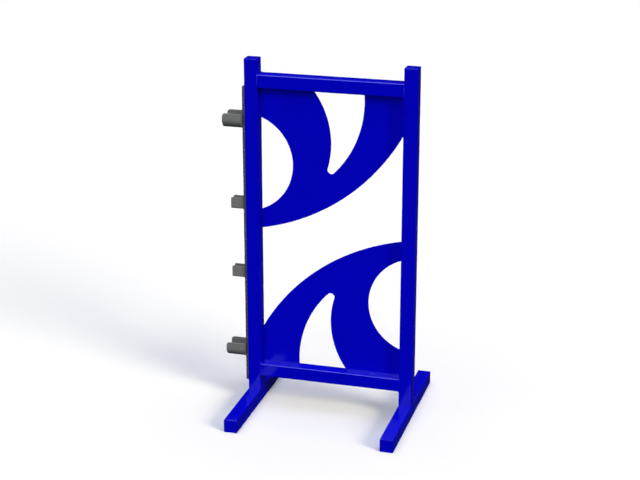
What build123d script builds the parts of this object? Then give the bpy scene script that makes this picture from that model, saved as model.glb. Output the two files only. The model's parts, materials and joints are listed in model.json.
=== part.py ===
from build123d import *
import math
import os

# Show jump wing: a painted steel frame on two feet, filled by two cut sheet panels. A slotted
# track on the inner post carries four cups: a round one at the top and at the bottom, and two
# flat ones between them. Each cup stands on a pull-out pin.
# Millimetres. +X points from the cups to the outer post, +Y to the back and +Z up. The origin is
# on the ground, under the middle of the whole outline.

os.makedirs("parts", exist_ok=True)

# Frame tube, the same for posts, rails and feet
tube = 70.0
tube_wall = 2.0
tube_corner = 5.0

# Frame
wing_width = 890.0
wing_height = 1860.0
foot_length = 885.0
top_rail_drop = 77.0
bottom_rail_gap = 78.0

# Tube end caps
cap_flange = 4.0
cap_edge = 1.5
cap_plug = 18.0
cap_plug_wall = 2.5
cap_clearance = 0.25

# Bolted joint of post and foot
foot_plate_thickness = 8.0
foot_bolt_radius = 5.0
foot_bolt_spacing = 36.0
foot_bolt_head_width = 17.0
foot_bolt_head_height = 6.4
foot_bolt_tip = 4.0
foot_washer_radius = 10.0
foot_washer_thickness = 2.0
foot_access_radius = 12.0
bolt_hole_clearance = 0.5
thread_clearance = 0.05

# Sheet panels, measured down from the rail and across from the post that the panel hangs on
sheet = 3.0
edge_drop_near = 744.0
edge_drop_middle = 595.0
edge_drop_far = 192.0
bow_hole_drop = 152.0
bow_hole_height = 490.0
bow_hole_depth = 174.0
horn_hole_near = 284.0
horn_hole_far = 544.0
horn_near_bulge = (375.0, 272.0)
horn_far_bulge = (507.0, 242.0)
horn_tip = (328.0, 474.0)
horn_tip_radius = 20.0

# Track
track_width = 60.0
track_proud = 13.0
track_back = 2.5
track_side = 3.0
track_lip = 2.5
track_slot = 22.0
track_edge = 1.0
track_top_drop = 145.0
track_bottom_gap = 49.0
track_plug_height = 10.0
track_plug_clearance = 0.2

# Pin holes of the track, and the hole that each cup's pin goes through: the lower three are
# counted up from the lowest hole, and the top one down from the highest
first_hole = 15.0
hole_pitch = 25.0
hole_end_margin = 15.0
bottom_cup_holes_up = 5
lower_flat_cup_holes_up = 22
upper_flat_cup_holes_up = 37
top_cup_holes_down = 7

# Track rivets
rivet_count = 7
rivet_end = 42.0
rivet_radius = 2.4
rivet_head_radius = 4.6
rivet_head_height = 1.4
rivet_tail_radius = 4.0
rivet_tail_length = 4.5
rivet_clearance = 0.1

# Pins
pin_radius = 3.0
pin_clearance = 0.1
pin_tip_proud = 1.5
pin_tip_chamfer = 1.0
pin_knob_gap = 2.0
pin_knob_radius = 9.0
pin_knob_length = 18.0
pin_knob_edge = 1.5
pin_knob_cover = 3.0
pin_waist_radius = 6.5
pin_waist_length = 5.0

# Cup sliders
slider_height = 60.0
slider_clearance = 0.3
slider_seat_gap = 0.3
slider_chamfer = 1.5
cup_face_gap = 0.3

# Cup back plates and their screws
cup_plate = 5.0
cup_screw_radius = 3.0
cup_screw_length = 15.0
cup_screw_spacing = 28.0
cup_screw_head_radius = 6.0
cup_screw_head_height = 3.0
cup_screw_clearance = 0.3
cup_screw_socket = 4.0
cup_screw_socket_depth = 1.8

# Round cups
pole_diameter = 80.0
pole_clearance = 1.0
round_cup_wall = 4.5
round_cup_rise = 33.0
round_cup_reach = 117.0
round_cup_mouth_corner = 18.0

# Flat cups
plank_thickness = 32.0
plank_clearance = 2.0
flat_cup_wall = 4.0
flat_cup_height = 61.0
flat_cup_corner = 9.0
flat_cup_rise = 5.0
flat_cup_reach = 84.0
flat_cup_mouth_corner = 10.0
cup_rim = 1.2

# Places that follow from the sizes
track_face_x = -(wing_width - round_cup_reach) / 2
inner_post_x = track_face_x + tube / 2
outer_post_x = track_face_x + wing_width - tube / 2
post_top = wing_height - cap_flange
bay_left = inner_post_x + tube / 2
bay_right = outer_post_x - tube / 2
bay_width = bay_right - bay_left
bay_bottom = tube + bottom_rail_gap + tube
bay_top = wing_height - top_rail_drop - tube
foot_tube_length = foot_length - 2 * cap_flange

track_bottom = tube + track_bottom_gap
track_top = wing_height - track_top_drop
track_length = track_top - track_bottom
track_cavity = track_proud - track_back - track_lip
track_cavity_width = track_width - 2 * track_side
pin_x = track_face_x - track_back - track_cavity / 2
hole_count = int((track_length - first_hole - hole_end_margin) / hole_pitch) + 1
rivet_pitch = (track_length - 2 * rivet_end) / (rivet_count - 1)
cup_screw_flare = cup_screw_head_radius - cup_screw_radius
cup_screw_angle = 2 * math.degrees(math.atan2(cup_screw_flare, cup_screw_head_height))
rivet_angle = 2 * math.degrees(math.atan2(rivet_head_radius - rivet_radius, rivet_head_height))


def save(builder, label):
    """Label a finished piece and write it as its own file."""
    builder.part.label = label
    export_step(builder.part, f"parts/{label}.step")


def tube_section(plane, width=tube, corner=tube_corner):
    """The outline of the frame tube, or of what fills its bore, on a plane across it."""
    with BuildSketch(plane) as section:
        RectangleRounded(width, width, corner)
    return section.sketch


def tube_bore(plane, clearance=0.0):
    """The outline of the tube's bore, or of a plug that clears it."""
    width = tube - 2 * tube_wall - 2 * clearance
    return tube_section(plane, width, tube_corner - tube_wall)


# Posts: they stand on the feet, and the inner one is drilled for the track's rivets
for label, post_x in (("inner_post", inner_post_x), ("outer_post", outer_post_x)):
    with BuildPart() as post:
        extrude(tube_section(Plane((post_x, 0, tube))), post_top - tube)
        extrude(tube_bore(Plane((post_x, 0, tube))), post_top - tube, mode=Mode.SUBTRACT)
        if label == "inner_post":
            with BuildSketch(Plane.YZ.offset(track_face_x)):
                with Locations((0, (track_bottom + track_top) / 2)):
                    with GridLocations(0, rivet_pitch, 1, rivet_count):
                        Circle(rivet_radius + rivet_clearance)
            extrude(amount=tube_wall, mode=Mode.SUBTRACT)
    save(post, label)

# Rails: they run between the posts
for label, rail_z in (("top_rail", bay_top + tube / 2), ("bottom_rail", bay_bottom - tube / 2)):
    rail_plane = Plane((bay_left, 0, rail_z), x_dir=(0, 1, 0), z_dir=(1, 0, 0))
    with BuildPart() as rail:
        extrude(tube_section(rail_plane), bay_width)
        extrude(tube_bore(rail_plane), bay_width, mode=Mode.SUBTRACT)
    save(rail, label)

# Feet: they run from front to back under the posts. Two bolts rise through the upper wall into
# the post, and two larger holes in the lower wall let the spanner in.
for label, post_x in (("inner_foot", inner_post_x), ("outer_foot", outer_post_x)):
    foot_back = (post_x, foot_tube_length / 2, tube / 2)
    foot_plane = Plane(foot_back, x_dir=(1, 0, 0), z_dir=(0, -1, 0))
    with BuildPart() as foot:
        extrude(tube_section(foot_plane), foot_tube_length)
        extrude(tube_bore(foot_plane), foot_tube_length, mode=Mode.SUBTRACT)
        with BuildSketch(Plane.XY.offset(tube - tube_wall)):
            with Locations((post_x, 0)):
                with GridLocations(0, foot_bolt_spacing, 1, 2):
                    Circle(foot_bolt_radius + bolt_hole_clearance)
        extrude(amount=tube_wall, mode=Mode.SUBTRACT)
        with BuildSketch(Plane.XY):
            with Locations((post_x, 0)):
                with GridLocations(0, foot_bolt_spacing, 1, 2):
                    Circle(foot_access_radius)
        extrude(amount=tube_wall, mode=Mode.SUBTRACT)
    save(foot, label)

# Foot plates: welded into the post's lower end, with a thread for each bolt
for label, post_x in (
    ("inner_post_foot_plate", inner_post_x),
    ("outer_post_foot_plate", outer_post_x),
):
    with BuildPart() as plate:
        extrude(tube_bore(Plane((post_x, 0, tube))), foot_plate_thickness)
        with BuildSketch(Plane.XY.offset(tube)):
            with Locations((post_x, 0)):
                with GridLocations(0, foot_bolt_spacing, 1, 2):
                    Circle(foot_bolt_radius + thread_clearance)
        extrude(amount=foot_plate_thickness, mode=Mode.SUBTRACT)
    save(plate, label)

# Foot bolts and washers, two under each post, pushed up from inside the foot
washer_bottom = tube - tube_wall - foot_washer_thickness
bolt_shank = foot_washer_thickness + tube_wall + foot_plate_thickness + foot_bolt_tip
with BuildPart() as foot_bolts:
    for post_x in (inner_post_x, outer_post_x):
        with BuildSketch(Plane.XY.offset(washer_bottom - foot_bolt_head_height)):
            with Locations((post_x, 0)):
                with GridLocations(0, foot_bolt_spacing, 1, 2):
                    RegularPolygon(foot_bolt_head_width / 2, 6, major_radius=False)
        extrude(amount=foot_bolt_head_height)
        with BuildSketch(Plane.XY.offset(washer_bottom)):
            with Locations((post_x, 0)):
                with GridLocations(0, foot_bolt_spacing, 1, 2):
                    Circle(foot_bolt_radius)
        extrude(amount=bolt_shank)
save(foot_bolts, "foot_bolts")

with BuildPart() as foot_bolt_washers:
    for post_x in (inner_post_x, outer_post_x):
        with BuildSketch(Plane.XY.offset(washer_bottom)):
            with Locations((post_x, 0)):
                with GridLocations(0, foot_bolt_spacing, 1, 2):
                    Circle(foot_washer_radius)
                    Circle(foot_bolt_radius + bolt_hole_clearance, mode=Mode.SUBTRACT)
        extrude(amount=foot_washer_thickness)
save(foot_bolt_washers, "foot_bolt_washers")


def make_cap(label, end_plane):
    """A tube end cap on the plane of the tube's end: a flange outside and a hollow plug inside."""
    with BuildPart() as cap:
        extrude(tube_section(end_plane), cap_flange)
        outer_face = cap.faces().sort_by(Axis(end_plane.origin, end_plane.z_dir))[-1]
        fillet(outer_face.edges(), cap_edge)
        extrude(tube_bore(end_plane, cap_clearance), -cap_plug)
        extrude(tube_bore(end_plane, cap_clearance + cap_plug_wall), -cap_plug, mode=Mode.SUBTRACT)
    save(cap, label)


# End caps: one on each post and two on each foot
for side, post_x in (("inner", inner_post_x), ("outer", outer_post_x)):
    make_cap(f"{side}_post_cap", Plane((post_x, 0, post_top), x_dir=(1, 0, 0), z_dir=(0, 0, 1)))
    for end, toward in (("front", -1), ("rear", 1)):
        foot_end = (post_x, toward * foot_tube_length / 2, tube / 2)
        make_cap(f"{side}_foot_{end}_cap", Plane(foot_end, x_dir=(1, 0, 0), z_dir=(0, toward, 0)))


def make_panel(label, corner_plane):
    """A sheet panel in the frame's middle plane. The plane's origin is the corner of post and
    rail, its x runs along the rail and its y runs out of the bay, so depths are negative."""
    with BuildPart() as panel:
        with BuildSketch(corner_plane) as outline:
            with BuildLine():
                lower_edge = ThreePointArc(
                    (0, -edge_drop_near),
                    (bay_width / 2, -edge_drop_middle),
                    (bay_width, -edge_drop_far),
                )
                Polyline(lower_edge @ 1, (bay_width, 0), (0, 0), lower_edge @ 0)
            make_face()
            with BuildLine():
                bow = ThreePointArc(
                    (0, -bow_hole_drop),
                    (bow_hole_depth, -bow_hole_drop - bow_hole_height / 2),
                    (0, -bow_hole_drop - bow_hole_height),
                )
                Line(bow @ 1, bow @ 0)
            make_face(mode=Mode.SUBTRACT)
            tip = (horn_tip[0], -horn_tip[1])
            with BuildLine():
                near = ThreePointArc((horn_hole_near, 0), (horn_near_bulge[0], -horn_near_bulge[1]), tip)
                far = ThreePointArc(tip, (horn_far_bulge[0], -horn_far_bulge[1]), (horn_hole_far, 0))
                Line(far @ 1, near @ 0)
            make_face(mode=Mode.SUBTRACT)
            fillet(outline.vertices().sort_by_distance(Vector(*tip))[0], horn_tip_radius)
        extrude(amount=sheet / 2, both=True)
    save(panel, label)


# Panels: the lower one is the upper one turned half round in the frame
make_panel("upper_panel", Plane((bay_left, 0, bay_top), x_dir=(1, 0, 0), z_dir=(0, -1, 0)))
make_panel("lower_panel", Plane((bay_right, 0, bay_bottom), x_dir=(-1, 0, 0), z_dir=(0, -1, 0)))

# Track: a slotted channel, with a row of pin holes through both sides and countersunk rivet holes
lip_x = track_face_x - track_proud + track_lip / 2
track_middle = (track_bottom + track_top) / 2
rivet_base = (track_face_x - track_back, 0, track_middle)
rivet_plane = Plane(rivet_base, x_dir=(0, 1, 0), z_dir=(-1, 0, 0))
with BuildPart() as cup_track:
    with BuildSketch(Plane.XY.offset(track_bottom)):
        with Locations((track_face_x - track_proud / 2, 0)):
            RectangleRounded(track_proud, track_width, track_edge)
        with Locations((pin_x, 0)):
            Rectangle(track_cavity, track_cavity_width, mode=Mode.SUBTRACT)
        with Locations((lip_x, 0)):
            Rectangle(track_lip, track_slot, mode=Mode.SUBTRACT)
    extrude(amount=track_length)
    with BuildSketch(Plane.XZ):
        with Locations((pin_x, track_bottom + first_hole + (hole_count - 1) * hole_pitch / 2)):
            with GridLocations(0, hole_pitch, 1, hole_count):
                Circle(pin_radius + pin_clearance)
    extrude(amount=track_width / 2, both=True, mode=Mode.SUBTRACT)
    with Locations(rivet_plane):
        with GridLocations(0, rivet_pitch, 1, rivet_count):
            CounterSinkHole(
                rivet_radius + rivet_clearance,
                rivet_head_radius + rivet_clearance,
                track_back,
                rivet_angle,
            )
save(cup_track, "cup_track")


def rivet_profile():
    """Half the section of a rivet: its head in the track's countersink, its tail in the post."""
    head_top = -track_back
    tail_start = tube_wall
    tail_end = tail_start + rivet_tail_length
    Polyline(
        (0, head_top),
        (rivet_head_radius, head_top),
        (rivet_radius, head_top + rivet_head_height),
        (rivet_radius, tail_start),
        (rivet_tail_radius, tail_start),
        (rivet_tail_radius, tail_end),
        (0, tail_end),
        close=True,
    )


# Track rivets
with BuildPart() as track_rivets:
    for number in range(rivet_count):
        rivet_z = track_bottom + rivet_end + number * rivet_pitch
        with BuildSketch(Plane((track_face_x, 0, rivet_z), x_dir=(0, 1, 0), z_dir=(0, 0, -1))):
            with BuildLine():
                rivet_profile()
            make_face()
        revolve(axis=Axis((track_face_x, 0, rivet_z), (1, 0, 0)))
save(track_rivets, "track_rivets")

# Track plugs: one closes each end of the channel, so that no slider runs out
with BuildPart() as track_plugs:
    for plug_bottom in (track_bottom, track_top - track_plug_height):
        with BuildSketch(Plane.XY.offset(plug_bottom)):
            with Locations((pin_x, 0)):
                Rectangle(
                    track_cavity - 2 * track_plug_clearance,
                    track_cavity_width - 2 * track_plug_clearance,
                )
            with Locations((lip_x + track_plug_clearance / 2, 0)):
                Rectangle(track_lip + track_plug_clearance, track_slot - 2 * track_plug_clearance)
        extrude(amount=track_plug_height)
save(track_plugs, "track_plugs")

# Places along X in a cup, from the track outwards
slider_back_x = track_face_x - track_back - slider_clearance
slider_step_x = track_face_x - track_proud + track_lip + slider_clearance
plate_back_x = track_face_x - track_proud - cup_face_gap
plate_front_x = plate_back_x - cup_plate


def pin_hole_z(number):
    """The height of a pin hole of the track, counted up from the lowest."""
    return track_bottom + first_hole + number * hole_pitch


def across_cup(x, z):
    """A plane across a cup at x, with its own y upwards. Pieces grow from it toward the cup's mouth."""
    return Plane((x, 0, z), x_dir=(0, -1, 0), z_dir=(-1, 0, 0))


def round_section(plane, wall):
    """A round cup's section: half a circle under straight sides, this far outside its bore."""
    radius = pole_diameter / 2 + pole_clearance + wall
    with BuildSketch(plane) as section:
        with BuildLine():
            bowl = ThreePointArc((-radius, 0), (0, -radius), (radius, 0))
            Polyline(bowl @ 1, (radius, round_cup_rise), (-radius, round_cup_rise), bowl @ 0)
        make_face()
    return section.sketch


def flat_section(plane, wall):
    """A flat cup's section: a box with rounded lower corners, this far outside its hollow."""
    width = plank_thickness + 2 * plank_clearance + 2 * wall
    top = flat_cup_height / 2
    bottom = flat_cup_wall - wall - top
    with BuildSketch(plane) as section:
        with BuildLine():
            Polyline(
                (-width / 2, top),
                (-width / 2, bottom),
                (width / 2, bottom),
                (width / 2, top),
                close=True,
            )
        make_face()
        lower_corners = section.vertices().group_by(Axis.Y)[0]
        fillet(lower_corners, flat_cup_corner - flat_cup_wall + wall)
    return section.sketch


def make_cup(name, kind, hole_z):
    """One cup with its back plate, slider, screws and pin. Its slider stands on the pin."""
    slider_z = hole_z + pin_radius + slider_seat_gap + slider_height / 2
    if kind == "round":
        section, wall, reach = round_section, round_cup_wall, round_cup_reach
        mouth_corner, cup_z = round_cup_mouth_corner, slider_z
    else:
        section, wall, reach = flat_section, flat_cup_wall, flat_cup_reach
        mouth_corner, cup_z = flat_cup_mouth_corner, slider_z + flat_cup_rise
    shell_length = plate_front_x - track_face_x + reach

    with BuildPart() as shell:
        shell_plane = across_cup(plate_front_x, cup_z)
        extrude(section(shell_plane, wall), shell_length)
        extrude(section(shell_plane, 0.0), shell_length, mode=Mode.SUBTRACT)
        mouth_edges = shell.edges().filter_by(Axis.Y).group_by(Axis.X)[0]
        fillet(mouth_edges.group_by(Axis.Z)[-1], mouth_corner)
        rim_edges = shell.faces().sort_by(Axis.Z)[-2:].edges().filter_by(Axis.X)
        fillet(rim_edges, cup_rim)
    save(shell, f"{name}_shell")

    with BuildPart() as back_plate:
        extrude(section(across_cup(plate_back_x, cup_z), wall), cup_plate)
        with Locations(across_cup(plate_front_x, slider_z)):
            with GridLocations(0, cup_screw_spacing, 1, 2):
                CounterSinkHole(
                    cup_screw_radius + cup_screw_clearance,
                    cup_screw_head_radius + cup_screw_clearance,
                    cup_plate,
                    cup_screw_angle,
                )
    save(back_plate, f"{name}_back_plate")

    with BuildPart() as slider:
        with BuildSketch(across_cup(slider_back_x, slider_z)):
            Rectangle(track_cavity_width - 2 * slider_clearance, slider_height)
        extrude(amount=slider_back_x - slider_step_x)
        chamfer(slider.edges().filter_by(Axis.Y), slider_chamfer)
        with BuildSketch(across_cup(slider_step_x, slider_z)):
            Rectangle(track_slot - 2 * slider_clearance, slider_height - 2 * slider_chamfer)
        extrude(amount=slider_step_x - plate_back_x)
        with BuildSketch(across_cup(plate_back_x, slider_z)):
            with GridLocations(0, cup_screw_spacing, 1, 2):
                Circle(cup_screw_radius + thread_clearance)
        extrude(amount=plate_back_x - slider_back_x, mode=Mode.SUBTRACT)
    save(slider, f"{name}_slider")

    with BuildPart() as screws:
        for offset in (-cup_screw_spacing / 2, cup_screw_spacing / 2):
            screw_base = (plate_front_x, 0, slider_z + offset)
            with BuildSketch(Plane(screw_base, x_dir=(0, 1, 0), z_dir=(0, 0, -1))):
                with BuildLine():
                    Polyline(
                        (0, 0),
                        (cup_screw_head_radius, 0),
                        (cup_screw_radius, cup_screw_head_height),
                        (cup_screw_radius, cup_screw_length),
                        (0, cup_screw_length),
                        close=True,
                    )
                make_face()
            revolve(axis=Axis(screw_base, (1, 0, 0)))
            with BuildSketch(across_cup(plate_front_x, slider_z + offset)):
                RegularPolygon(cup_screw_socket / 2, 6, major_radius=False)
            extrude(amount=-cup_screw_socket_depth, mode=Mode.SUBTRACT)
    save(screws, f"{name}_screws")

    pin_front = -track_width / 2 - pin_tip_proud
    knob_front = tube / 2 + pin_knob_gap
    knob_back = knob_front + pin_knob_length
    pin_back = knob_back - pin_knob_cover
    pin_plane = Plane((pin_x, 0, hole_z), x_dir=(1, 0, 0), z_dir=(0, 0, 1))
    pin_axis = Axis((pin_x, 0, hole_z), (0, 1, 0))

    with BuildPart() as pin:
        with BuildSketch(pin_plane):
            with BuildLine():
                Polyline(
                    (0, pin_front),
                    (pin_radius - pin_tip_chamfer, pin_front),
                    (pin_radius, pin_front + pin_tip_chamfer),
                    (pin_radius, pin_back),
                    (0, pin_back),
                    close=True,
                )
            make_face()
        revolve(axis=pin_axis)
    save(pin, f"{name}_pin")

    with BuildPart() as knob:
        waist_start = knob_front + pin_knob_edge
        waist_end = waist_start + pin_waist_length
        with BuildSketch(pin_plane):
            with BuildLine():
                Polyline(
                    (pin_radius + thread_clearance, knob_front),
                    (pin_waist_radius, knob_front),
                    (pin_waist_radius, waist_end),
                    (pin_knob_radius, waist_end + pin_knob_edge),
                    (pin_knob_radius, knob_back - pin_knob_edge),
                    (pin_knob_radius - pin_knob_edge, knob_back),
                    (0, knob_back),
                    (0, pin_back),
                    (pin_radius + thread_clearance, pin_back),
                    close=True,
                )
            make_face()
        revolve(axis=pin_axis)
    save(knob, f"{name}_pin_knob")


# Cups, from the lowest up
make_cup("bottom_cup", "round", pin_hole_z(bottom_cup_holes_up))
make_cup("lower_flat_cup", "flat", pin_hole_z(lower_flat_cup_holes_up))
make_cup("upper_flat_cup", "flat", pin_hole_z(upper_flat_cup_holes_up))
make_cup("top_cup", "round", pin_hole_z(hole_count - 1 - top_cup_holes_down))
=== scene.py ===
import json
import math

import bmesh
import bpy
from bpy.props import FloatProperty, FloatVectorProperty, IntProperty, PointerProperty
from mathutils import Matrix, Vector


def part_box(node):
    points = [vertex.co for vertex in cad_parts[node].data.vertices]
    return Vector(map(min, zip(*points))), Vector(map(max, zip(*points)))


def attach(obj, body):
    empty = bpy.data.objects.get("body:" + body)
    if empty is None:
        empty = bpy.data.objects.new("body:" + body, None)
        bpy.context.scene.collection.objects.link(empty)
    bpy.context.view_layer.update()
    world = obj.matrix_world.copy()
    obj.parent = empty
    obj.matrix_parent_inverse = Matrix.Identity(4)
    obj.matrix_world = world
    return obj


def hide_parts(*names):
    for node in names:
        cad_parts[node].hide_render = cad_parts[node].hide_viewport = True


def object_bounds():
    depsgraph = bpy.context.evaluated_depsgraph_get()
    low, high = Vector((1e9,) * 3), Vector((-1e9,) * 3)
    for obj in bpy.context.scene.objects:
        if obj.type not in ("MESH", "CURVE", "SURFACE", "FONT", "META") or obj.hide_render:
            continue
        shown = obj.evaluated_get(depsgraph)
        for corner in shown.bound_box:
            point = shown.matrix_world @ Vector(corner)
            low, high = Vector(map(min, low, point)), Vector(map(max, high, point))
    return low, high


bl_info = {
    "name": "Show Jump Wing",
    "version": (1, 0, 0),
    "blender": (4, 5, 0),
    "location": "View3D > Sidebar > Jump Wing",
    "description": "Finishes a show jump wing: its paint, welds, rivets, track and cups, and a studio",
    "category": "Object",
}

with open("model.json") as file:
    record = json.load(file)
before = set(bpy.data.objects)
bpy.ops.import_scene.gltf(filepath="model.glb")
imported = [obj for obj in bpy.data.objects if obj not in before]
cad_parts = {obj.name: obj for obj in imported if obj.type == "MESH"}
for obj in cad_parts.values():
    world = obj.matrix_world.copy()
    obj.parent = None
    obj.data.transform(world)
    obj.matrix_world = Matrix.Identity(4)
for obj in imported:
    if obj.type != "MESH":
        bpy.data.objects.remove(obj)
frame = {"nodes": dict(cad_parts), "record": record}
CAD_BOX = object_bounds()
NODES = frame["nodes"]

# Every length in this file is in metres, so a size in millimetres is written as a number of MM
MM = 0.001
CUPS = ("bottom_cup", "lower_flat_cup", "upper_flat_cup", "top_cup")


def linear(hex_colour):
    """An sRGB hex colour as the linear red, green, blue and alpha that the shaders take."""
    channels = [int(hex_colour[i:i + 2], 16) / 255 for i in (1, 3, 5)]
    return tuple(c / 12.92 if c <= 0.04045 else ((c + 0.055) / 1.055) ** 2.4 for c in channels) + (1.0,)


def colour_property(name, description, hex_colour):
    """A colour that the user can change."""
    return FloatVectorProperty(
        name=name, description=description, subtype="COLOR", size=4, min=0.0, max=1.0,
        default=linear(hex_colour),
    )


def length_property(name, description, default):
    """A length that the user can change."""
    return FloatProperty(name=name, description=description, default=default, min=0.0, unit="LENGTH")


def number_property(name, description, default):
    """A plain number that the user can change."""
    return FloatProperty(name=name, description=description, default=default, min=0.0)


def count_property(name, description, default):
    """A number of like pieces that the user can change."""
    return IntProperty(name=name, description=description, default=default, min=3)


class FinishSettings(bpy.types.PropertyGroup):
    """Colours and surface sizes of the wing's finishes."""

    coat: colour_property("Coat", "Blue powder coat of the frame and panels", "#0101B8")
    coat_shade: colour_property("Coat shade", "Deeper blue where the coat is thicker", "#0101B2")
    cap: colour_property("End caps", "Blue of the moulded end caps", "#0101B4")
    track: colour_property("Track", "Aluminium of the track, anodised dark grey", "#4A4C54")
    cup: colour_property("Cups", "Grey metallic powder coat of the cups", "#727476")
    rivet: colour_property("Rivets", "Bright aluminium of the rivets", "#C4C6CA")
    zinc: colour_property("Zinc", "Zinc plating of bolts, screws and pins", "#B4B8BE")
    nylon: colour_property("Moulded parts", "Dark nylon of sliders, plugs and knobs", "#17171A")
    # Real orange peel is about 3 mm wide, die lines lie 0.3 mm apart and flake and moulded textures
    # are under 0.5 mm. They are drawn coarser here, so that they show in a picture of the whole wing.
    peel_size: length_property("Orange peel", "Width of the ripples in the powder coat", 8 * MM)
    coat_patch: length_property("Coat patches", "Width of patches of thicker coat", 160 * MM)
    draw_line: length_property("Extrusion lines", "Spacing of the lines along the track", 2 * MM)
    flake: length_property("Flake", "Width of the flakes in the cups' coat", 2 * MM)
    spark: length_property("Moulded texture", "Width of the grains on moulded parts", 1.5 * MM)
    spangle: length_property("Spangle", "Width of the crystals in the zinc", 1.4 * MM)
    rub: length_property("Rub marks", "Width of the rub marks in the cups", 5 * MM)
    turning: length_property("Turning marks", "Spacing of the turning marks on the rivets", 0.4 * MM)


class WeldSettings(bpy.types.PropertyGroup):
    """Sizes of the weld beads."""

    frame_bead: length_property("Frame bead", "Radius of the beads round the rails' ends", 3.2 * MM)
    panel_bead: length_property("Panel bead", "Radius of the short beads along the panels", 2.2 * MM)
    cup_bead: length_property("Cup bead", "Radius of the beads between cup and back plate", 1.6 * MM)
    ripple_pitch: length_property("Ripple pitch", "Distance between the ripples of a bead", 3.0 * MM)
    ripple_height: length_property("Ripple height", "Height of the ripples of a bead", 0.25 * MM)
    stitch_length: length_property("Stitch length", "Length of a short bead along a panel", 28 * MM)
    stitch_pitch: length_property("Stitch pitch", "Distance between short beads along a panel", 85 * MM)
    stitch_margin: length_property("Stitch margin", "Bare length at the end of a panel's seam", 6 * MM)


class DetailSettings(bpy.types.PropertyGroup):
    """Sizes of the rivets' dimples, the knobs' ribs and the sheet's and cups' edges."""

    rivet_count: count_property("Rivets", "Number of rivets along the track", 7)
    rivet_head: length_property("Rivet head", "Radius of a rivet's flat head", 4.6 * MM)
    dimple_ring: length_property("Dimple ring", "Radius of the ring round a rivet's stem", 2.0 * MM)
    dimple_wire: length_property("Ring wire", "Thickness of that ring's rim", 0.35 * MM)
    stem: length_property("Stem", "Radius of the broken stem in the rivet", 1.3 * MM)
    dimple_sink: length_property("Dimple sink", "Depth of ring and stem, clear of the sliders", 0.2 * MM)
    rib_count: count_property("Ribs", "Number of ribs round a pin's knob", 24)
    rib_radius: length_property("Rib radius", "Radius of one rib", 0.75 * MM)
    rib_length: length_property("Rib length", "Length of one rib along the knob", 9.0 * MM)
    knob_edge: length_property("Knob edge", "Sloped edge of a knob, which the ribs leave bare", 1.5 * MM)
    sheet_edge: length_property("Sheet edge", "Rounding of the panels' edges under the coat", 0.5 * MM)
    tube_corner: length_property("Tube corner", "Radius of the bead's turns round a rail", 5 * MM)
    cup_corner: length_property("Flat cup corner", "Outer corner radius of the flat cups", 9 * MM)


class StageSettings(bpy.types.PropertyGroup):
    """Floor, lights and camera of the studio."""

    floor: colour_property("Floor", "Pale paint of the studio floor", "#FCFCFC")
    backdrop: colour_property("Backdrop", "White of the studio behind the floor", "#FFFFFF")
    floor_radius: length_property("Floor radius", "Half the width of the round floor", 60.0)
    roller: length_property("Roller marks", "Width of the marks that the paint roller left", 12 * MM)
    warm: colour_property("Warm light", "Colour of the light from the right", "#FFF6DD")
    cool: colour_property("Cool light", "Colour of the light from above", "#EFF3FF")
    key_light: number_property("Key light", "Strength of the light from the right", 2.8)
    floor_light: number_property("Floor light", "Strength of that light on the floor", 2.6)
    top_light: number_property("Top light", "Strength of the light from above", 2.5)
    front_light: number_property("Front light", "Strength of the light in front", 2.3)
    back_light: number_property("Back light", "Strength of the light behind", 1.6)
    room_light: number_property("Room light", "Strength of the light all round", 0.015)
    lens: number_property("Lens", "Focal length in millimetres", 88.0)
    camera_place: FloatVectorProperty(
        name="Camera place", description="Where the camera stands", subtype="TRANSLATION", unit="LENGTH",
        default=(2.068, -7.295, 3.536),
    )


def add_node(tree, kind, inputs=None, **settings):
    """Add a node with its settings. An input given as a socket is linked, any other is its value."""
    node = tree.nodes.new(kind)
    for name, value in settings.items():
        setattr(node, name, value)
    for name, value in (inputs or {}).items():
        if isinstance(value, bpy.types.NodeSocket):
            tree.links.new(value, node.inputs[name])
        else:
            node.inputs[name].default_value = value
    return node


def new_finish(name, surface, constants):
    """A material whose Principled shader takes sockets from surface(tree, place) and constants that
    are the same all over."""
    material = bpy.data.materials.new(name)
    material.use_nodes = True
    tree = material.node_tree
    tree.nodes.clear()
    place = add_node(tree, "ShaderNodeTexCoord").outputs["Object"]
    inputs = dict(constants)
    inputs.update(surface(tree, place))
    shader = add_node(tree, "ShaderNodeBsdfPrincipled", inputs)
    add_node(tree, "ShaderNodeOutputMaterial", {"Surface": shader.outputs["BSDF"]})
    return material


def grain(tree, place, size, detail=2.0, stretch=(1.0, 1.0, 1.0)):
    """Noise whose grains are about size wide, longer along an axis whose stretch is under 1."""
    mapping = add_node(tree, "ShaderNodeMapping", {"Vector": place, "Scale": stretch})
    noise = add_node(
        tree, "ShaderNodeTexNoise",
        {"Vector": mapping.outputs["Vector"], "Scale": 1.0 / size, "Detail": detail},
    )
    return noise.outputs["Fac"]


def between(tree, factor, low, high):
    """A number that runs from low to high as a noise factor runs over its usual middle range."""
    node = add_node(
        tree, "ShaderNodeMapRange",
        {"Value": factor, "From Min": 0.3, "From Max": 0.7, "To Min": low, "To Max": high},
    )
    return node.outputs["Result"]


def blend_colours(tree, factor, first, second):
    """A colour between two, by a noise factor."""
    node = add_node(
        tree, "ShaderNodeMix", {0: between(tree, factor, low=0.0, high=1.0), 6: first, 7: second},
        data_type="RGBA",
    )
    return node.outputs[2]


def bumps(tree, height, strength, depth):
    """Shading as of a surface that is uneven by depth."""
    node = add_node(tree, "ShaderNodeBump", {"Height": height, "Strength": strength, "Distance": depth})
    return node.outputs["Normal"]


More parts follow.
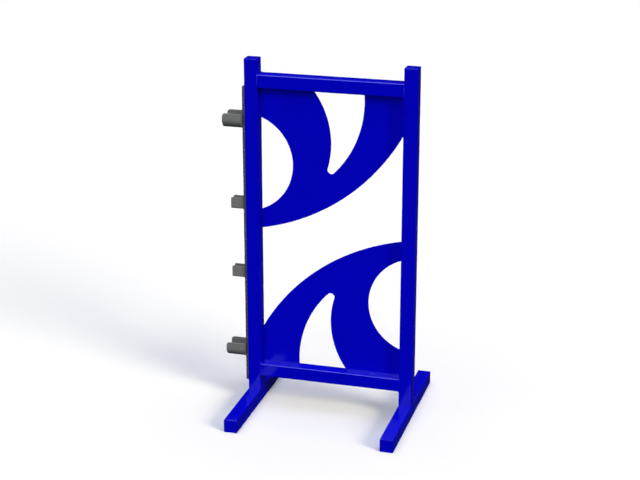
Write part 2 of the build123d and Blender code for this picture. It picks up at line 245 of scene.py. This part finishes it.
def powder_coat_blue(look):
    """Polyester powder coat, sprayed dry and baked: a glossy film with a faint orange peel, a little
    deeper in colour where it is thicker."""
    def surface(tree, place):
        patches = grain(tree, place, look.coat_patch)
        peel = grain(tree, place, look.peel_size, detail=1.0)
        return {
            "Base Color": blend_colours(tree, patches, look.coat, look.coat_shade),
            "Roughness": between(tree, patches, low=0.07, high=0.11),
            "Normal": bumps(tree, peel, strength=1.0, depth=0.2 * MM),
        }
    return new_finish("powder_coated_steel_blue", surface, {"IOR": 1.5, "Specular IOR Level": 0.4})


def moulded_cap_blue(look):
    """Moulded polyethylene: softer in gloss than the coat, with a fine even spark texture."""
    def surface(tree, place):
        spark = grain(tree, place, look.spark, detail=3.0)
        return {
            "Roughness": between(tree, spark, low=0.14, high=0.2),
            "Normal": bumps(tree, spark, strength=0.15, depth=0.05 * MM),
        }
    return new_finish(
        "moulded_polyethylene_blue", surface,
        {"Base Color": look.cap, "IOR": 1.5, "Specular IOR Level": 0.4},
    )


def anodised_track(look):
    """Extruded aluminium, anodised dark grey: the dyed film dulls the metal, which shows fine die
    lines along its length."""
    def surface(tree, place):
        lines = grain(tree, place, look.draw_line, stretch=(1.0, 1.0, 0.004))
        return {
            "Roughness": between(tree, lines, low=0.34, high=0.46),
            "Normal": bumps(tree, lines, strength=0.3, depth=0.1 * MM),
        }
    return new_finish(
        "anodised_aluminium_track", surface, {"Base Color": look.track, "Metallic": 0.4}
    )


def cup_coat_grey(look):
    """Powder coat with metal flake: satin grey, with fine rub marks along the way things slide in."""
    def surface(tree, place):
        flake = grain(tree, place, look.flake, detail=3.0)
        rubs = grain(tree, place, look.rub, detail=4.0, stretch=(0.15, 1.0, 1.0))
        return {
            "Roughness": between(tree, rubs, low=0.3, high=0.42),
            "Normal": bumps(tree, flake, strength=0.2, depth=0.1 * MM),
        }
    return new_finish(
        "metallic_powder_coated_steel_grey", surface, {"Base Color": look.cup, "Metallic": 0.3}
    )


def bright_rivet(look):
    """Bare aluminium, headed cold: bright, with faint turning marks."""
    def surface(tree, place):
        marks = grain(tree, place, look.turning)
        return {"Roughness": between(tree, marks, low=0.25, high=0.38)}
    return new_finish("bare_aluminium_rivet", surface, {"Base Color": look.rivet, "Metallic": 1.0})


def zinc_plate(look):
    """Zinc-plated steel: bluish bright metal with a fine crystal mottle."""
    def surface(tree, place):
        crystals = grain(tree, place, look.spangle, detail=1.0)
        return {"Roughness": between(tree, crystals, low=0.22, high=0.4)}
    return new_finish("zinc_plated_steel", surface, {"Base Color": look.zinc, "Metallic": 1.0})


def moulded_nylon(look):
    """Moulded nylon: near black, dull, with a fine eroded texture."""
    def surface(tree, place):
        eroded = grain(tree, place, look.spark, detail=3.0)
        return {
            "Roughness": between(tree, eroded, low=0.45, high=0.6),
            "Normal": bumps(tree, eroded, strength=0.2, depth=0.05 * MM),
        }
    return new_finish("moulded_nylon_black", surface, {"Base Color": look.nylon, "IOR": 1.53})


def floor_paint(stage):
    """Matt emulsion paint, rolled on: even and without gloss, so that it shows only soft shadows."""
    def surface(tree, place):
        roller = grain(tree, place, stage.roller)
        return {"Normal": bumps(tree, roller, strength=0.05, depth=0.1 * MM)}
    return new_finish(
        "matt_painted_floor", surface,
        {"Base Color": stage.floor, "Roughness": 0.9, "Specular IOR Level": 0.1},
    )


FINISHES = {
    "blue_powder_coat": powder_coat_blue,
    "blue_cap_plastic": moulded_cap_blue,
    "anodised_track": anodised_track,
    "grey_cup_paint": cup_coat_grey,
    "bright_rivet": bright_rivet,
    "zinc_plated_steel": zinc_plate,
    "dark_plastic": moulded_nylon,
}
made_finishes = {}


def finish_for(slot):
    """The material for a slot of the record, made once."""
    if slot not in made_finishes:
        made_finishes[slot] = FINISHES[slot](bpy.context.scene.wing_finish)
    return made_finishes[slot]


def new_tree(name, sizes, counts=()):
    """A geometry tree with a geometry, a material and named sizes and counts as its inputs."""
    tree = bpy.data.node_groups.new(name, "GeometryNodeTree")
    tree.interface.new_socket("Geometry", in_out="INPUT", socket_type="NodeSocketGeometry")
    tree.interface.new_socket("Material", in_out="INPUT", socket_type="NodeSocketMaterial")
    for size in sizes:
        tree.interface.new_socket(size, in_out="INPUT", socket_type="NodeSocketFloat")
    for count in counts:
        tree.interface.new_socket(count, in_out="INPUT", socket_type="NodeSocketInt")
    tree.interface.new_socket("Geometry", in_out="OUTPUT", socket_type="NodeSocketGeometry")
    return tree, add_node(tree, "NodeGroupInput").outputs


def end_tree(tree, geometry, material):
    """Close a tree: real meshes, smooth, in their material."""
    real = add_node(tree, "GeometryNodeRealizeInstances", {"Geometry": geometry})
    smooth = add_node(tree, "GeometryNodeSetShadeSmooth", {"Geometry": real.outputs["Geometry"]})
    dressed = add_node(
        tree, "GeometryNodeSetMaterial",
        {"Geometry": smooth.outputs["Geometry"], "Material": material},
    )
    add_node(tree, "NodeGroupOutput", {"Geometry": dressed.outputs["Geometry"]})


def maths(tree, operation, first, second=0.0):
    """The result of an operation on one or two numbers or sockets."""
    node = add_node(tree, "ShaderNodeMath", {0: first, 1: second}, operation=operation)
    return node.outputs["Value"]


# The sides of a bead's round section, the number of sections to one ripple, and the share of the
# radius that is left at an open end
BEAD_SIDES = 10
SECTIONS_PER_RIPPLE = 4.0
BLUNT_END = 0.2


def bead_along(tree, curve, radius, pitch, height):
    """A rippled weld bead along a curve, rounded off at the ends of an open one."""
    fine = add_node(
        tree, "GeometryNodeResampleCurve",
        {"Curve": curve, "Length": maths(tree, "DIVIDE", pitch, SECTIONS_PER_RIPPLE)}, mode="LENGTH",
    )
    run = add_node(tree, "GeometryNodeSplineParameter").outputs["Length"]
    total = add_node(tree, "GeometryNodeSplineLength").outputs["Length"]
    closed = add_node(tree, "GeometryNodeInputSplineCyclic").outputs["Cyclic"]
    from_end = maths(tree, "MINIMUM", run, maths(tree, "SUBTRACT", total, run))
    rise = maths(tree, "MINIMUM", maths(tree, "DIVIDE", from_end, radius), 1.0)
    rounded = maths(tree, "SQRT", maths(tree, "MULTIPLY", rise, maths(tree, "SUBTRACT", 2.0, rise)))
    taper = maths(tree, "MAXIMUM", maths(tree, "MAXIMUM", rounded, BLUNT_END), closed)
    wave = maths(tree, "SINE", maths(tree, "DIVIDE", maths(tree, "MULTIPLY", run, 2 * math.pi), pitch))
    swell = maths(tree, "ADD", radius, maths(tree, "MULTIPLY", wave, height))
    ring = add_node(tree, "GeometryNodeCurvePrimitiveCircle", {"Resolution": BEAD_SIDES, "Radius": 1.0})
    bead = add_node(
        tree, "GeometryNodeCurveToMesh",
        {
            "Curve": fine.outputs["Curve"],
            "Profile Curve": ring.outputs["Curve"],
            "Scale": maths(tree, "MULTIPLY", swell, taper),
            "Fill Caps": True,
        },
    )
    return bead.outputs["Mesh"]


def bead_tree():
    """Weld beads along every path of the geometry."""
    tree, given = new_tree("weld_bead", ("Bead Radius", "Ripple Pitch", "Ripple Height"))
    path = add_node(tree, "GeometryNodeMeshToCurve", {"Mesh": given["Geometry"]})
    bead = bead_along(
        tree, path.outputs["Curve"], given["Bead Radius"], given["Ripple Pitch"], given["Ripple Height"]
    )
    end_tree(tree, bead, given["Material"])
    return tree


def stitch_tree():
    """Short weld beads, evenly spaced along every seam of the geometry."""
    tree, given = new_tree(
        "weld_stitches",
        ("Bead Radius", "Ripple Pitch", "Ripple Height", "Stitch Length", "Stitch Pitch", "Seam Margin"),
    )
    seam = add_node(tree, "GeometryNodeMeshToCurve", {"Mesh": given["Geometry"]}).outputs["Curve"]
    total = add_node(tree, "GeometryNodeSplineLength").outputs["Length"]
    inset = maths(tree, "ADD", maths(tree, "DIVIDE", given["Stitch Length"], 2.0), given["Seam Margin"])
    trimmed = add_node(
        tree, "GeometryNodeTrimCurve",
        {"Curve": seam, 4: inset, 5: maths(tree, "SUBTRACT", total, inset)}, mode="LENGTH",
    )
    spaced = add_node(
        tree, "GeometryNodeResampleCurve",
        {"Curve": trimmed.outputs["Curve"], "Length": given["Stitch Pitch"]}, mode="LENGTH",
    )
    half = maths(tree, "DIVIDE", given["Stitch Length"], 2.0)
    low = add_node(tree, "ShaderNodeCombineXYZ", {"Z": maths(tree, "MULTIPLY", half, -1.0)})
    high = add_node(tree, "ShaderNodeCombineXYZ", {"Z": half})
    line = add_node(
        tree, "GeometryNodeCurvePrimitiveLine",
        {"Start": low.outputs["Vector"], "End": high.outputs["Vector"]},
    )
    stitch = bead_along(
        tree, line.outputs["Curve"], given["Bead Radius"], given["Ripple Pitch"], given["Ripple Height"]
    )
    along = add_node(tree, "GeometryNodeInputTangent").outputs["Tangent"]
    turn = add_node(tree, "FunctionNodeAlignRotationToVector", {"Vector": along}, axis="Z")
    stitches = add_node(
        tree, "GeometryNodeInstanceOnPoints",
        {
            "Points": spaced.outputs["Curve"],
            "Instance": stitch,
            "Rotation": turn.outputs["Rotation"],
        },
    )
    end_tree(tree, stitches.outputs["Instances"], given["Material"])
    return tree


def dimple_tree():
    """A rim and a broken stem, sunk in the head of each rivet along a line of rivets. They face -X."""
    tree, given = new_tree("rivet_dimples", ("Ring Radius", "Ring Wire", "Stem Radius"), ("Count",))
    line = add_node(tree, "GeometryNodeMeshToCurve", {"Mesh": given["Geometry"]})
    heads = add_node(
        tree, "GeometryNodeResampleCurve",
        {"Curve": line.outputs["Curve"], "Count": given["Count"]}, mode="COUNT",
    )
    ring = add_node(
        tree, "GeometryNodeCurvePrimitiveCircle", {"Resolution": 20, "Radius": given["Ring Radius"]}
    )
    wire = add_node(
        tree, "GeometryNodeCurvePrimitiveCircle", {"Resolution": 8, "Radius": given["Ring Wire"]}
    )
    rim = add_node(
        tree, "GeometryNodeCurveToMesh",
        {"Curve": ring.outputs["Curve"], "Profile Curve": wire.outputs["Curve"]},
    )
    stem = add_node(
        tree, "GeometryNodeMeshUVSphere",
        {"Segments": 16, "Rings": 8, "Radius": given["Stem Radius"]},
    )
    # The stem is a ball pressed flat, a quarter as high as it is wide
    flat_stem = add_node(
        tree, "GeometryNodeTransform", {"Geometry": stem.outputs["Mesh"], "Scale": (1.0, 1.0, 0.25)}
    )
    both = add_node(tree, "GeometryNodeJoinGeometry")
    tree.links.new(rim.outputs["Mesh"], both.inputs["Geometry"])
    tree.links.new(flat_stem.outputs["Geometry"], both.inputs["Geometry"])
    dimples = add_node(
        tree, "GeometryNodeInstanceOnPoints",
        {
            "Points": heads.outputs["Curve"],
            "Instance": both.outputs["Geometry"],
            "Rotation": (0.0, -math.pi / 2, 0.0),
        },
    )
    end_tree(tree, dimples.outputs["Instances"], given["Material"])
    return tree


def rib_tree():
    """Ribs round a knob, one at each point of the geometry, which is a circle about Y."""
    tree, given = new_tree("knob_ribs", ("Rib Radius", "Rib Length"), ("Count",))
    circle = add_node(tree, "GeometryNodeMeshToCurve", {"Mesh": given["Geometry"]})
    places = add_node(
        tree, "GeometryNodeResampleCurve",
        {"Curve": circle.outputs["Curve"], "Count": given["Count"]}, mode="COUNT",
    )
    half = maths(tree, "DIVIDE", given["Rib Length"], 2.0)
    start = add_node(tree, "ShaderNodeCombineXYZ", {"Y": maths(tree, "MULTIPLY", half, -1.0)})
    end = add_node(tree, "ShaderNodeCombineXYZ", {"Y": half})
    line = add_node(
        tree, "GeometryNodeCurvePrimitiveLine",
        {"Start": start.outputs["Vector"], "End": end.outputs["Vector"]},
    )
    # A rib is a bead without ripples, whose sections lie one radius apart
    pitch = maths(tree, "MULTIPLY", given["Rib Radius"], SECTIONS_PER_RIPPLE)
    rib = bead_along(tree, line.outputs["Curve"], given["Rib Radius"], pitch, 0.0)
    ribs = add_node(
        tree, "GeometryNodeInstanceOnPoints", {"Points": places.outputs["Curve"], "Instance": rib}
    )
    end_tree(tree, ribs.outputs["Instances"], given["Material"])
    return tree


def paths_mesh(name, paths):
    """A mesh of edges only: each path is a list of points and whether it is closed."""
    points, edges = [], []
    for path, closed in paths:
        first = len(points)
        points += [tuple(p) for p in path]
        edges += [(i, i + 1) for i in range(first, len(points) - 1)]
        if closed:
            edges.append((len(points) - 1, first))
    mesh = bpy.data.meshes.new(name)
    mesh.from_pydata(points, edges, [])
    return mesh


def grow(name, body, slot, paths, tree, values):
    """Run a geometry tree with its input values on paths, keep its result as a plain mesh, and let it
    ride on a body."""
    carrier = bpy.data.objects.new(name + "_paths", paths_mesh(name + "_paths", paths))
    bpy.context.scene.collection.objects.link(carrier)
    modifier = carrier.modifiers.new("grow", "NODES")
    modifier.node_group = tree
    values = dict(values, Material=finish_for(slot))
    for item in tree.interface.items_tree:
        if item.in_out == "INPUT" and item.name in values:
            modifier[item.identifier] = values[item.name]
    depsgraph = bpy.context.evaluated_depsgraph_get()
    mesh = bpy.data.meshes.new_from_object(carrier.evaluated_get(depsgraph), depsgraph=depsgraph)
    mesh.name = name
    bpy.data.objects.remove(carrier)
    if not mesh.polygons:
        raise RuntimeError(f"{name} came out empty")
    piece = bpy.data.objects.new(name, mesh)
    bpy.context.scene.collection.objects.link(piece)
    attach(piece, body)
    return piece


def corner_arc(centre, radius, start, end, steps=6):
    """Points of an arc in the plane of y and z, as pairs, from one angle in degrees to another."""
    angles = [math.radians(start + (end - start) * i / steps) for i in range(steps + 1)]
    return [(centre[0] + radius * math.cos(a), centre[1] + radius * math.sin(a)) for a in angles]


def bead_values(weld, radius):
    """The input values of a weld bead's tree."""
    return {
        "Bead Radius": radius,
        "Ripple Pitch": weld.ripple_pitch,
        "Ripple Height": weld.ripple_height,
    }


def rail_end_loop(rail, side, bead, corner):
    """The path of the bead round a rail's end. The bead lies in the corner of post and rail above
    and below, and in front and behind it fills the groove beside the post's rounded edge."""
    low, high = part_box(rail)
    end_x = high.x if side > 0 else low.x
    centre_z = (low.z + high.z) / 2
    half = (high.z - low.z) / 2
    groove = 0.55 * bead
    overlap = 0.2 * bead
    inner = half - corner
    outline = []
    for quarter, (sy, sz) in enumerate(((1, 1), (-1, 1), (-1, -1), (1, -1))):
        outline += corner_arc((sy * inner, sz * inner), corner, 90 * quarter, 90 * quarter + 90)
    loop = []
    for y, z in outline:
        # 0 on the faces above and below, 1 on the faces in front and behind
        sideways = min(1.0, max(0.0, (abs(y) - inner) / corner))
        inset = groove * sideways
        shift = groove * sideways - overlap * (1 - sideways)
        reach = (half - inset) / half
        loop.append((end_x + side * shift, y * reach, centre_z + z))
    return loop


def touching_spans(node, axis, value):
    """The spans, along the other axis of the panel, where a panel's edge lies on a plane."""
    on_plane = 0.05 * MM
    same_span = 1 * MM
    mesh = NODES[node].data
    other = 2 if axis == 0 else 0
    spans = []
    for face in mesh.polygons:
        corners = [mesh.vertices[i].co for i in face.vertices]
        if all(abs(c[axis] - value) < on_plane for c in corners):
            spans.append((min(c[other] for c in corners), max(c[other] for c in corners)))
    joined = []
    for low, high in sorted(spans):
        if joined and low <= joined[-1][1] + same_span:
            joined[-1] = (joined[-1][0], max(high, joined[-1][1]))
        else:
            joined.append((low, high))
    return joined


def panel_seams(node, offset):
    """The seams of a panel along both posts and its rail, in front and behind."""
    low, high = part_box(node)
    rail_z = high.z if node == "upper_panel" else low.z
    towards_rail = 1 if node == "upper_panel" else -1
    seams = []
    for y in (low.y - offset, high.y + offset):
        for x, inward in ((low.x, 1), (high.x, -1)):
            for start, end in touching_spans(node, 0, x):
                seams.append(([(x + inward * offset, y, start), (x + inward * offset, y, end)], False))
        for start, end in touching_spans(node, 2, rail_z):
            z = rail_z - towards_rail * offset
            seams.append(([(start, y, z), (end, y, z)], False))
    return seams


class WING_OT_finish_nodes(bpy.types.Operator):
    """Give every CAD node the finish of its slot"""

    bl_idname = "wing.finish_nodes"
    bl_label = "Finish the frame, track and cups"

    def execute(self, context):
        for part in frame["record"]["subparts"]:
            mesh = NODES[part["node"]].data
            mesh.materials.clear()
            mesh.materials.append(finish_for(part["material_slot"]))
        return {"FINISHED"}


class WING_OT_soften_panels(bpy.types.Operator):
    """Replace both panels by copies whose cut edges are rounded as under a coat"""

    bl_idname = "wing.soften_panels"
    bl_label = "Round the panels' edges"

    def execute(self, context):
        details = context.scene.wing_details
        same_point = 0.01 * MM
        same_plane = math.radians(0.2)
        sharp = math.radians(57.3)
        for node in ("upper_panel", "lower_panel"):
            mesh = NODES[node].data.copy()
            mesh.name = node + "_sheet"
            shape = bmesh.new()
            shape.from_mesh(mesh)
            bmesh.ops.remove_doubles(shape, verts=shape.verts, dist=same_point)
            bmesh.ops.dissolve_limit(shape, angle_limit=same_plane, verts=shape.verts, edges=shape.edges)
            rims = [e for e in shape.edges if len(e.link_faces) == 2 and e.calc_face_angle() > sharp]
            bmesh.ops.bevel(
                shape, geom=rims, offset=details.sheet_edge, segments=3, profile=0.5, affect="EDGES"
            )
            # All but the sheet's flat front and back is shaded smooth
            for face in shape.faces:
                face.smooth = abs(face.normal.y) < 0.999
            shape.to_mesh(mesh)
            shape.free()
            piece = bpy.data.objects.new(node + "_sheet", mesh)
            context.scene.collection.objects.link(piece)
            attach(piece, "wing")
            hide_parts(node)
        return {"FINISHED"}


class WING_OT_weld_frame(bpy.types.Operator):
    """Lay the weld beads round the ends of both rails"""

    bl_idname = "wing.weld_frame"
    bl_label = "Weld the rails"

    def execute(self, context):
        weld = context.scene.wing_weld
        corner = context.scene.wing_details.tube_corner
        loops = [
            (rail_end_loop(rail, side, weld.frame_bead, corner), True)
            for rail in ("top_rail", "bottom_rail")
            for side in (-1, 1)
        ]
        grow(
            "rail_weld_beads", "wing", "blue_powder_coat", loops, bead_tree(),
            bead_values(weld, weld.frame_bead),
        )
        return {"FINISHED"}


class WING_OT_weld_panels(bpy.types.Operator):
    """Lay the short weld beads along the panels' edges"""

    bl_idname = "wing.weld_panels"
    bl_label = "Weld the panels"

    def execute(self, context):
        weld = context.scene.wing_weld
        out_of_corner = 0.25 * weld.panel_bead
        seams = panel_seams("upper_panel", out_of_corner) + panel_seams("lower_panel", out_of_corner)
        values = bead_values(weld, weld.panel_bead)
        values["Stitch Length"] = weld.stitch_length
        values["Stitch Pitch"] = weld.stitch_pitch
        values["Seam Margin"] = weld.stitch_margin
        grow("panel_weld_stitches", "wing", "blue_powder_coat", seams, stitch_tree(), values)
        return {"FINISHED"}


def cup_outline(cup, flat_corner):
    """The outer outline of a cup, where its shell meets its back plate, from one rim to the other."""
    low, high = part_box(cup + "_shell")
    half = (high.y - low.y) / 2
    corner = flat_corner if "flat" in cup else half
    inner = half - corner
    base_z = low.z + corner
    outline = [(-half, high.z)]
    outline += corner_arc((-inner, base_z), corner, 180, 270, steps=12)
    outline += corner_arc((inner, base_z), corner, 270, 360, steps=12)
    outline.append((half, high.z))
    return [(high.x, y, z) for y, z in outline]


class WING_OT_weld_cups(bpy.types.Operator):
    """Lay the weld bead between each cup's shell and its back plate"""

    bl_idname = "wing.weld_cups"
    bl_label = "Weld the cups"

    def execute(self, context):
        weld = context.scene.wing_weld
        corner = context.scene.wing_details.cup_corner
        tree = bead_tree()
        for cup in CUPS:
            grow(
                cup + "_weld_bead", cup, "grey_cup_paint", [(cup_outline(cup, corner), False)], tree,
                bead_values(weld, weld.cup_bead),
            )
        return {"FINISHED"}


class WING_OT_dimple_rivets(bpy.types.Operator):
    """Put a rim and a broken stem in the head of each track rivet"""

    bl_idname = "wing.dimple_rivets"
    bl_label = "Finish the rivets"

    def execute(self, context):
        details = context.scene.wing_details
        low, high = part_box("track_rivets")
        y = (low.y + high.y) / 2
        x = low.x + details.dimple_sink
        line = [(x, y, low.z + details.rivet_head), (x, y, high.z - details.rivet_head)]
        grow(
            "rivet_dimples", "wing", "bright_rivet", [(line, False)], dimple_tree(),
            {
                "Ring Radius": details.dimple_ring,
                "Ring Wire": details.dimple_wire,
                "Stem Radius": details.stem,
                "Count": details.rivet_count,
            },
        )
        return {"FINISHED"}


class WING_OT_rib_knobs(bpy.types.Operator):
    """Put grip ribs round the knob of each pull-out pin"""

    bl_idname = "wing.rib_knobs"
    bl_label = "Rib the knobs"

    def execute(self, context):
        details = context.scene.wing_details
        tree = rib_tree()
        for cup in CUPS:
            low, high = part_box(cup + "_pin_knob")
            radius = (high.z - low.z) / 2
            centre_x = (low.x + high.x) / 2
            centre_z = (low.z + high.z) / 2
            grip_y = high.y - details.knob_edge - details.rib_length / 2
            angles = [2 * math.pi * i / details.rib_count for i in range(details.rib_count)]
            ring = [
                (centre_x + radius * math.cos(a), grip_y, centre_z + radius * math.sin(a))
                for a in angles
            ]
            grow(
                cup + "_knob_ribs", cup + "_pin", "dark_plastic", [(ring, True)], tree,
                {
                    "Rib Radius": details.rib_radius,
                    "Rib Length": details.rib_length,
                    "Count": details.rib_count,
                },
            )
        return {"FINISHED"}


def soft_light(name, turn, height, spread, strength, colour):
    """An even soft light from far off. It stands turn degrees to the right of the front and height
    degrees above the floor, and spread is how wide it looks, in degrees."""
    data = bpy.data.lights.new(name, "SUN")
    data.energy = strength
    data.angle = math.radians(spread)
    data.color = colour[:3]
    light = bpy.data.objects.new(name, data)
    light.rotation_euler = (math.radians(90 - height), 0.0, math.radians(turn))
    bpy.context.scene.collection.objects.link(light)
    return light


def link_to_floor(light, floor, state):
    """INCLUDE lets a light shine on the floor alone. EXCLUDE lets it leave out the floor, which it
    then neither lights nor shades."""
    linked = bpy.data.collections.new(light.name + "_and_floor")
    linked.objects.link(floor)
    linked.collection_objects[0].light_linking.link_state = state
    light.light_linking.receiver_collection = linked


def lay_floor(stage):
    """A round matt floor. It throws no light back on the wing, whose blue stays as deep as in the
    photograph."""
    mesh = bpy.data.meshes.new("studio_floor")
    shape = bmesh.new()
    bmesh.ops.create_circle(shape, cap_ends=True, segments=48, radius=stage.floor_radius)
    shape.to_mesh(mesh)
    shape.free()
    mesh.materials.append(floor_paint(stage))
    floor = bpy.data.objects.new("studio_floor", mesh)
    floor.visible_glossy = False
    floor.visible_diffuse = False
    bpy.context.scene.collection.objects.link(floor)
    return floor


def raise_dome(stage):
    """A white dome over the floor, which is seen behind it and gives no light."""
    material = bpy.data.materials.new("white_backdrop")
    material.use_nodes = True
    tree = material.node_tree
    tree.nodes.clear()
    glow = add_node(tree, "ShaderNodeEmission", {"Color": stage.backdrop, "Strength": 1.0})
    add_node(tree, "ShaderNodeOutputMaterial", {"Surface": glow.outputs["Emission"]})
    mesh = bpy.data.meshes.new("studio_dome")
    shape = bmesh.new()
    bmesh.ops.create_uvsphere(shape, u_segments=48, v_segments=24, radius=stage.floor_radius)
    bmesh.ops.reverse_faces(shape, faces=shape.faces)
    shape.to_mesh(mesh)
    shape.free()
    mesh.materials.append(material)
    dome = bpy.data.objects.new("studio_dome", mesh)
    dome.visible_diffuse = False
    dome.visible_glossy = False
    dome.visible_transmission = False
    dome.visible_shadow = False
    bpy.context.scene.collection.objects.link(dome)


def set_lights(stage, floor):
    """Soft lights above, to the right, in front and behind, and a faint one all round. The low ones
    are for the wing alone, and of these only the front one shines in its gloss paint. The floor has
    a softer light from the right, so that wing and floor both have the photograph's shadows."""
    white = stage.backdrop
    soft_light("top_light", turn=0, height=85, spread=72, strength=stage.top_light, colour=stage.cool)
    key = soft_light(
        "key_light", turn=68, height=25, spread=8, strength=stage.key_light, colour=stage.warm
    )
    front = soft_light(
        "front_light", turn=-25, height=26, spread=60, strength=stage.front_light, colour=white
    )
    back = soft_light(
        "back_light", turn=170, height=20, spread=40, strength=stage.back_light, colour=white
    )
    key.visible_glossy = False
    back.visible_glossy = False
    for low_light in (key, front, back):
        link_to_floor(low_light, floor, "EXCLUDE")
    floor_light = soft_light(
        "floor_light", turn=64, height=25, spread=22, strength=stage.floor_light, colour=stage.warm
    )
    link_to_floor(floor_light, floor, "INCLUDE")
    world = bpy.data.worlds.new("studio_room")
    world.use_nodes = True
    background = world.node_tree.nodes["Background"]
    background.inputs["Color"].default_value = white
    background.inputs["Strength"].default_value = stage.room_light
    bpy.context.scene.world = world


def set_camera(stage):
    """The camera, which stands where the photograph's stood and looks at the wing's middle."""
    data = bpy.data.cameras.new("photo_camera")
    data.lens = stage.lens
    data.sensor_width = 36.0
    camera = bpy.data.objects.new("photo_camera", data)
    camera.location = stage.camera_place
    middle = (CAD_BOX[0] + CAD_BOX[1]) / 2
    camera.rotation_euler = (middle - camera.location).to_track_quat("-Z", "Y").to_euler()
    bpy.context.scene.collection.objects.link(camera)
    bpy.context.scene.camera = camera


class WING_OT_set_stage(bpy.types.Operator):
    """Set up the floor, the soft lights and the camera"""

    bl_idname = "wing.set_stage"
    bl_label = "Set the stage"

    def execute(self, context):
        stage = context.scene.wing_stage
        floor = lay_floor(stage)
        raise_dome(stage)
        set_lights(stage, floor)
        set_camera(stage)
        context.scene.view_settings.view_transform = "Standard"
        return {"FINISHED"}


class WING_PT_panel(bpy.types.Panel):
    """Lists the wing's making steps and their settings"""

    bl_idname = "WING_PT_panel"
    bl_label = "Jump Wing"
    bl_space_type = "VIEW_3D"
    bl_region_type = "UI"
    bl_category = "Jump Wing"

    def draw(self, context):
        for operator in OPERATORS:
            self.layout.operator(operator.bl_idname)
        for settings in ("wing_finish", "wing_weld", "wing_details", "wing_stage"):
            group = getattr(context.scene, settings)
            for name in group.bl_rna.properties.keys():
                if name not in {"rna_type", "name"}:
                    self.layout.prop(group, name)


OPERATORS = (
    WING_OT_finish_nodes,
    WING_OT_soften_panels,
    WING_OT_weld_frame,
    WING_OT_weld_panels,
    WING_OT_weld_cups,
    WING_OT_dimple_rivets,
    WING_OT_rib_knobs,
    WING_OT_set_stage,
)
SETTINGS = {
    "wing_finish": FinishSettings,
    "wing_weld": WeldSettings,
    "wing_details": DetailSettings,
    "wing_stage": StageSettings,
}


def register():
    """Make the settings, the steps and the panel known."""
    for name, group in SETTINGS.items():
        bpy.utils.register_class(group)
        setattr(bpy.types.Scene, name, PointerProperty(type=group))
    for step in OPERATORS + (WING_PT_panel,):
        bpy.utils.register_class(step)


def unregister():
    """Take them away again."""
    for step in reversed(OPERATORS + (WING_PT_panel,)):
        bpy.utils.unregister_class(step)
    for name, group in SETTINGS.items():
        delattr(bpy.types.Scene, name)
        bpy.utils.unregister_class(group)


def main():
    """Make the whole wing and its stage."""
    register()
    for operator in OPERATORS:
        step = operator.bl_idname.split(".")[1]
        getattr(bpy.ops.wing, step)()


if __name__ == "__main__":
    main()
